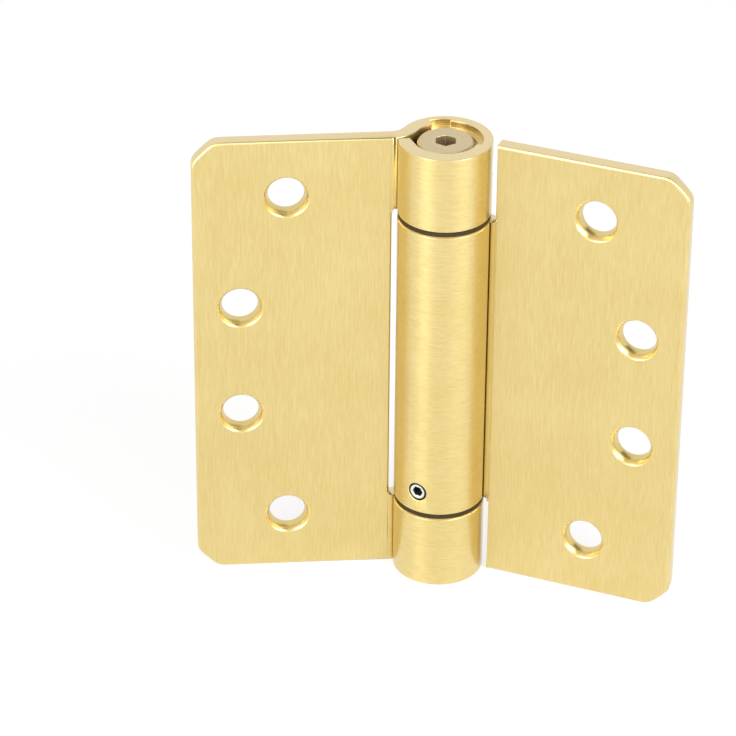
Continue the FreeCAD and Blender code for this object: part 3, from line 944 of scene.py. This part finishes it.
@dataclass
class TorsionSpring:
    """The left-hand spring inside the middle knuckle, with a straight tang at each end.

    Its coils wind up from below when the door swings and from above when the plug is turned. It is
    made in two lengths of wire that meet at one ring.
    """

    coil_radius: float = 3.825 * MM
    wire_radius: float = 1.1 * MM
    tang_radius: float = 1.05 * MM
    foot: float = 29.6 * MM
    top: float = 72.6 * MM
    low_end: float = 24.2 * MM
    high_end: float = 78.0 * MM
    turns: int = 16
    start: float = math.radians(34.0)
    bend: float = 1.5 * MM
    bend_steps: int = 8
    steps: int = 26
    sides: int = 14
    lower_turns: int = 10
    pieces: list[Piece] = field(init=False)

    def on_coil(self, turn: float) -> Vector:
        """The wire's centre on the coils.

        Args:
            turn: The number of turns from the coils' lower end.

        Returns:
            The point.
        """
        angle = self.start - 2 * math.pi * turn
        level = self.foot + (self.top - self.foot) * turn / self.turns
        return Vector((
            self.coil_radius * math.cos(angle),
            self.coil_radius * math.sin(angle),
            level,
        ))

    def elbow(self, tang: Vector, corner: Vector, coil: Vector) -> list[Vector]:
        """Points of the round bend between a tang and the coils.

        Args:
            tang: Where the straight tang ends.
            corner: Where tang and coil would meet.
            coil: Where the coils begin.

        Returns:
            The points, from the tang to the coil.
        """
        shares = [index / self.bend_steps for index in range(self.bend_steps + 1)]
        return [
            tang * (1 - share) ** 2 + corner * 2 * share * (1 - share) + coil * share**2
            for share in shares
        ]

    def path(self) -> list[Vector]:
        """The wire's centreline.

        Returns:
            Its points, from the end of the lower tang to the end of the upper one.
        """
        bent = self.bend / (2 * math.pi * self.coil_radius)
        first, last = self.on_coil(0.0), self.on_coil(float(self.turns))
        lower_end = Vector((first.x, first.y, self.low_end))
        upper_end = Vector((last.x, last.y, self.high_end))
        up = Vector((0.0, 0.0, self.bend))
        lower = self.elbow(first - up, first, self.on_coil(bent))
        upper = self.elbow(last + up, last, self.on_coil(self.turns - bent))
        count = self.turns * self.steps
        span = self.turns - 2 * bent
        coils = [self.on_coil(bent + span * index / count) for index in range(1, count)]
        return [lower_end, *lower, *coils, *reversed(upper), upper_end]

    def rings(self, points: list[Vector]) -> list[Ring]:
        """The wire's outline round each point of its centreline.

        Args:
            points: The centreline.

        Returns:
            A ring of points for each of them.
        """
        rings: list[Ring] = []
        side = Vector((1.0, 0.0, 0.0))
        for index, point in enumerate(points):
            before = points[max(index - 1, 0)]
            after = points[min(index + 1, len(points) - 1)]
            along = (after - before).normalized()
            side = (side - along * side.dot(along)).normalized()
            across = along.cross(side)
            straight = point.z < self.foot - self.bend or point.z > self.top + self.bend
            radius = self.tang_radius if straight else self.wire_radius
            rings.append([
                point
                + side * radius * math.cos(2 * math.pi * step / self.sides)
                + across * radius * math.sin(2 * math.pi * step / self.sides)
                for step in range(self.sides)
            ])
        return rings

    def build(self) -> list[Piece]:
        """Sweeps the wire along its centreline, in two lengths.

        Returns:
            The spring's lower and upper length.
        """
        points = self.path()
        rings = self.rings(points)
        still = self.foot + (self.top - self.foot) * self.lower_turns / self.turns
        meeting = next(index for index, point in enumerate(points) if point.z >= still)
        lower = loft("torsion_spring_lower", rings[: meeting + 1])
        upper = loft("torsion_spring_upper", rings[meeting:])
        self.pieces = [lower, upper]
        for piece in self.pieces:
            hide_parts("torsion_spring")
        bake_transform(lower)
        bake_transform(upper)
        return self.pieces

    def finish(self) -> None:
        """Gives the spring its wire."""
        wire = SpringWire().material()
        for piece in self.pieces:
            dress(piece, wire)


@dataclass
class SetScrew:
    """The threaded screw that holds the lower spindle, with a hexagon socket and a cup point."""

    direction: float = math.radians(-124.5)
    level: float = 22.6 * MM
    inner: float = 4.775 * MM
    outer: float = 9.375 * MM
    radius: float = 2.0 * MM
    pitch: float = 0.7 * MM
    thread_depth: float = 0.3 * MM
    face_radius: float = 1.62 * MM
    face_depth: float = 0.1 * MM
    face_tilt: float = 0.7
    socket_flats: float = 2.0 * MM
    socket_mouth: float = 1.12
    mouth_depth: float = 0.12 * MM
    socket_depth: float = 2.0 * MM
    drill_depth: float = 0.3 * MM
    drill_tip: float = 0.24 * MM
    cup_radius: float = 0.9 * MM
    cup_depth: float = 0.5 * MM
    cup_tip: float = 0.18 * MM
    sides: int = 48
    slices: int = 10
    piece: Piece = field(init=False)

    def ring(self, along: float, radius: float, shape: float = 0.0) -> Ring:
        """One ring round the screw's axis.

        Args:
            along: Where it is on the axis.
            radius: Its radius, for a round ring.
            shape: Width across flats, for a hexagon.

        Returns:
            The ring's points.
        """
        points = []
        for step in range(self.sides):
            angle = 2 * math.pi * step / self.sides
            if shape:
                flat = (angle % (math.pi / 3)) - math.pi / 6
                radius = shape / 2 / math.cos(flat)
            points.append(Vector((along, radius * math.cos(angle), radius * math.sin(angle))))
        return points

    def runout(self, along: float) -> float:
        """How far the thread has run out towards the face, from 0 to 1."""
        chamfer = self.radius - self.face_radius
        return min(max((along - self.outer + 3 * chamfer) / (2 * chamfer), 0.0), 1.0)

    def thread(self, along: float) -> Ring:
        """One ring of the thread, which climbs by its pitch in each turn.

        Args:
            along: Where it is on the axis.

        Returns:
            The ring's points.
        """
        points = []
        for step in range(self.sides):
            share = step / self.sides
            phase = (along / self.pitch - share) % 1.0
            groove = 1 - abs(2 * phase - 1)
            start = 1 - min((along - self.inner) / self.thread_depth, 1.0)
            radius = self.radius - self.thread_depth * max(groove * (1 - self.runout(along)), start)
            angle = 2 * math.pi * share
            points.append(Vector((along, radius * math.cos(angle), radius * math.sin(angle))))
        return points

    def build(self) -> list[Piece]:
        """Makes the screw from its cup point to the floor of its socket.

        Returns:
            The screw, alone in its list.
        """
        rings = [
            self.ring(self.inner + self.cup_depth, self.cup_tip),
            self.ring(self.inner, self.cup_radius),
        ]
        length = self.outer - (self.radius - self.face_radius) - self.inner
        count = round(length / self.pitch * self.slices)
        rings += [self.thread(self.inner + length * index / count) for index in range(count + 1)]
        floor = self.outer - self.socket_depth
        rings += [
            self.ring(self.outer, self.face_radius),
            self.ring(self.outer, 0.0, self.socket_flats * self.socket_mouth),
            self.ring(self.outer - self.mouth_depth, 0.0, self.socket_flats),
            self.ring(floor, 0.0, self.socket_flats),
            self.ring(floor - self.drill_depth, self.drill_tip),
        ]
        self.piece = loft("set_screw_threaded", rings)
        # Faces off the screw's bright face take the second material, the painted shade of its
        # thread and socket
        for polygon in self.piece.data.polygons:
            centre = polygon.center
            reach = math.hypot(centre.y, centre.z) - self.face_radius
            outer = centre.x > self.outer - self.face_depth and reach < self.face_depth
            bright = outer and abs(polygon.normal.x) > self.face_tilt
            polygon.material_index = 0 if bright else 1
        self.piece.data.transform(
            Matrix.Translation((0.0, 0.0, self.level)) @ Matrix.Rotation(self.direction, 4, "Z")
        )
        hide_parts("set_screw")
        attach(self.piece, "door")
        return [self.piece]

    def finish(self) -> None:
        """Gives the screw its bright zinc face, and painted shade on its thread and socket."""
        bright = ZincAndPaintedShadeScrew("screw_zinc", (0.76, 0.75, 0.72), (0.88, 0.87, 0.84), 0.3)
        # A near-black, non-metal colour that paints the shade in the screw's hole and socket
        dark = ZincAndPaintedShadeScrew(
            "screw_painted_shade",
            (0.014, 0.018, 0.017),
            (0.034, 0.042, 0.040),
            0.5,
            metallic=0.0,
            specular=0.2,
        )
        dress(self.piece, bright.material(), dark.material())


@dataclass
class TensionPlug:
    """The plug in the top of the barrel, with its hexagon socket and its ring of pin holes."""

    broken_edge: float = 0.08 * MM
    piece: Piece = field(init=False)

    def build(self) -> list[Piece]:
        """Makes the softened plug.

        Returns:
            The plug, alone in its list.
        """
        mesh = surface_of("tension_plug")
        self.piece = softened("tension_plug_softened", mesh, self.broken_edge)
        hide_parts("tension_plug")
        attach(self.piece, "adjuster")
        return [self.piece]

    def finish(self) -> None:
        """Gives the plug and the pin in it their metal."""
        face = TurnedMetal(
            "plug_plated",
            (0.60, 0.485, 0.29),
            (0.71, 0.59, 0.375),
            roughness=0.42,
            mottle=0.6,
        )
        material = face.material()
        dress(self.piece, material, material)
        pin = TurnedMetal("pin_ground", (0.58, 0.57, 0.54), (0.68, 0.67, 0.64), roughness=0.25)
        dress(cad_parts["tension_pin"], pin.material())


@dataclass
class Bearings:
    """The CAD nodes that the barrel turns on: spindle, rod, bushings, washers and cap."""

    def finish(self) -> list[str]:
        """Gives each of them its finish.

        Returns:
            The names of the nodes.
        """
        steel = TurnedMetal("spindle_turned", (0.48, 0.48, 0.49), (0.62, 0.62, 0.62)).material()
        bronze = TurnedMetal("washer_strip", (0.52, 0.39, 0.15), (0.64, 0.50, 0.22)).material()
        cap = TurnedMetal("cap_plated", (0.74, 0.57, 0.23), (0.82, 0.66, 0.31)).material()
        nylon = MouldedNylon().material()
        finishes = {
            "lower_spindle": steel,
            "guide_rod": steel,
            "upper_bushing": nylon,
            "lower_bushing": nylon,
            "upper_washer": bronze,
            "lower_washer": bronze,
            "bottom_cap": cap,
        }
        for node, material in finishes.items():
            dress(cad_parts[node], material)
        return list(finishes)


@dataclass
class Softbox:
    """A large soft lamp that faces the hinge, at angles in degrees and a distance in metres."""

    name: str
    azimuth: float
    elevation: float
    distance: float
    width: float
    height: float
    power: float

    def build(self, target: Vector) -> None:
        """Hangs the lamp.

        Args:
            target: What it points at.
        """
        light = bpy.data.lights.new(self.name, "AREA")
        light.shape = "RECTANGLE"
        light.size = self.width
        light.size_y = self.height
        light.energy = self.power
        lamp = bpy.data.objects.new(self.name, light)
        direction = away(self.azimuth, self.elevation)
        lamp.location = target + direction * self.distance
        lamp.rotation_euler = direction.to_track_quat("Z", "Y").to_euler()
        bpy.context.scene.collection.objects.link(lamp)


@dataclass
class Studio:
    """Pale floor, white surroundings, soft lamps, a dark card and the camera.

    azimuth, elevation and distance say where the camera is, and yaw, pitch and roll how it is
    turned away from looking straight at the target, all in degrees and metres.
    """

    target: Vector = field(default_factory=lambda: Vector((0.0, 0.0, 50.8 * MM)))
    azimuth: float = -6.252
    elevation: float = 31.535
    distance: float = 0.8
    yaw: float = -1.269
    pitch: float = -0.197
    roll: float = 0.488
    lens: float = 190.02
    sensor: float = 36.0
    clip: tuple[float, float] = (0.01, 50.0)
    floor_size: float = 12.0
    floor_level: float = -0.02 * MM
    floor_colour: Colour = (0.95, 0.95, 0.95)
    floor_glow: float = 0.78
    diffuse_level: float = 0.9
    card_place: tuple[float, float] = (85.0, 60.0)
    card_distance: float = 1.0
    card_size: float = 1.0
    card_colour: Colour = (0.08, 0.07, 0.05)
    lamps: tuple[Softbox, ...] = (
        Softbox("softbox_left", -48.0, 20.0, 0.95, 0.36, 0.9, 7.3),
        Softbox("softbox_right", 40.0, 34.0, 0.42, 0.14, 0.3, 1.5),
    )

    def seen(self, tree: bpy.types.NodeTree) -> Socket:
        """Whether a ray comes from the camera or through glossy or clear surfaces.

        Args:
            tree: The node tree that asks.

        Returns:
            A socket that is 1 for such rays.
        """
        path = tree.nodes.new("ShaderNodeLightPath")
        total = path.outputs["Is Camera Ray"]
        for name in ("Is Glossy Ray", "Is Transmission Ray"):
            larger = tree.nodes.new("ShaderNodeMath")
            larger.operation = "MAXIMUM"
            tree.links.new(total, larger.inputs[0])
            tree.links.new(path.outputs[name], larger.inputs[1])
            total = larger.outputs[0]
        return total

    def build_world(self) -> None:
        """White surroundings where they are seen, and a plain soft light elsewhere."""
        world = bpy.data.worlds.new("studio")
        world.use_nodes = True
        tree = world.node_tree
        background = tree.nodes["Background"]
        background.inputs["Color"].default_value = (1.0, 1.0, 1.0, 1.0)
        level = tree.nodes.new("ShaderNodeMix")
        level.data_type = "FLOAT"
        tree.links.new(self.seen(tree), level.inputs[0])
        level.inputs[2].default_value = self.diffuse_level
        level.inputs[3].default_value = 1.0
        tree.links.new(level.outputs[0], background.inputs["Strength"])
        bpy.context.scene.world = world

    def build_floor(self) -> None:
        """A pale floor that keeps the hinge's shadow."""
        floor = square("floor", self.floor_size, self.floor_level)
        material = bpy.data.materials.new("pale_floor")
        material.use_nodes = True
        tree = material.node_tree
        tree.nodes.clear()
        matt = tree.nodes.new("ShaderNodeBsdfDiffuse")
        matt.inputs["Color"].default_value = (*self.floor_colour, 1.0)
        glow = tree.nodes.new("ShaderNodeEmission")
        glow.inputs["Color"].default_value = (1.0, 1.0, 1.0, 1.0)
        share = tree.nodes.new("ShaderNodeMath")
        share.operation = "MULTIPLY"
        share.inputs[1].default_value = self.floor_glow
        tree.links.new(self.seen(tree), share.inputs[0])
        both = tree.nodes.new("ShaderNodeMixShader")
        tree.links.new(share.outputs[0], both.inputs["Fac"])
        tree.links.new(matt.outputs[0], both.inputs[1])
        tree.links.new(glow.outputs[0], both.inputs[2])
        result = tree.nodes.new("ShaderNodeOutputMaterial")
        tree.links.new(both.outputs[0], result.inputs["Surface"])
        dress(floor, material)

    def build_card(self) -> None:
        """A dark card overhead, which gives the countersinks a dark reflection."""
        card = square("overhead_card", self.card_size, 0.0)
        direction = away(*self.card_place)
        card.location = self.target + direction * self.card_distance
        card.rotation_euler = direction.to_track_quat("Z", "Y").to_euler()
        material = bpy.data.materials.new("dark_card")
        material.use_nodes = True
        shader = material.node_tree.nodes["Principled BSDF"]
        shader.inputs["Base Color"].default_value = (*self.card_colour, 1.0)
        shader.inputs["Roughness"].default_value = 1.0
        dress(card, material)

    def build_camera(self) -> None:
        """The camera at the photograph's viewing angle."""
        yaw = math.radians(self.yaw - self.azimuth)
        pitch = math.radians(self.pitch - self.elevation)
        forward = Vector((
            math.sin(yaw) * math.cos(pitch),
            math.cos(yaw) * math.cos(pitch),
            math.sin(pitch),
        ))
        right = Vector((math.cos(yaw), -math.sin(yaw), 0.0))
        turned = Matrix.Rotation(math.radians(-self.roll), 3, forward)
        right = turned @ right
        up = right.cross(forward)
        data = bpy.data.cameras.new("camera")
        data.sensor_width = self.sensor
        data.lens = self.lens
        data.clip_start, data.clip_end = self.clip
        camera = bpy.data.objects.new("camera", data)
        axes = Matrix((right, up, -forward)).transposed().to_4x4()
        place = self.target + away(self.azimuth, self.elevation) * self.distance
        camera.matrix_world = Matrix.Translation(place) @ axes
        bpy.context.scene.collection.objects.link(camera)
        bpy.context.scene.camera = camera

    def build(self) -> None:
        """Sets up the whole studio."""
        self.build_world()
        self.build_floor()
        for lamp in self.lamps:
            lamp.build(self.target)
        self.build_card()
        self.build_camera()
        bpy.context.scene.view_settings.view_transform = "Standard"


def main() -> None:
    """Builds the pieces in order, dresses them and sets up the studio."""
    logging.basicConfig(level=logging.INFO, format="%(name)s: %(message)s")
    assemblies = (
        Leaf("frame_leaf", "frame", -1, 0.0),
        Leaf("door_leaf", "door", 1, math.radians(-26.0)),
        TensionPlug(),
        TorsionSpring(),
        SetScrew(),
    )
    for assembly in assemblies:
        pieces = assembly.build()
        assembly.finish()
        for piece in pieces:
            LOG.info("%s: %d faces", piece.name, len(piece.data.polygons))
    for node in Bearings().finish():
        LOG.info("%s: dressed", node)
    Studio().build()


if __name__ == "__main__":
    main()
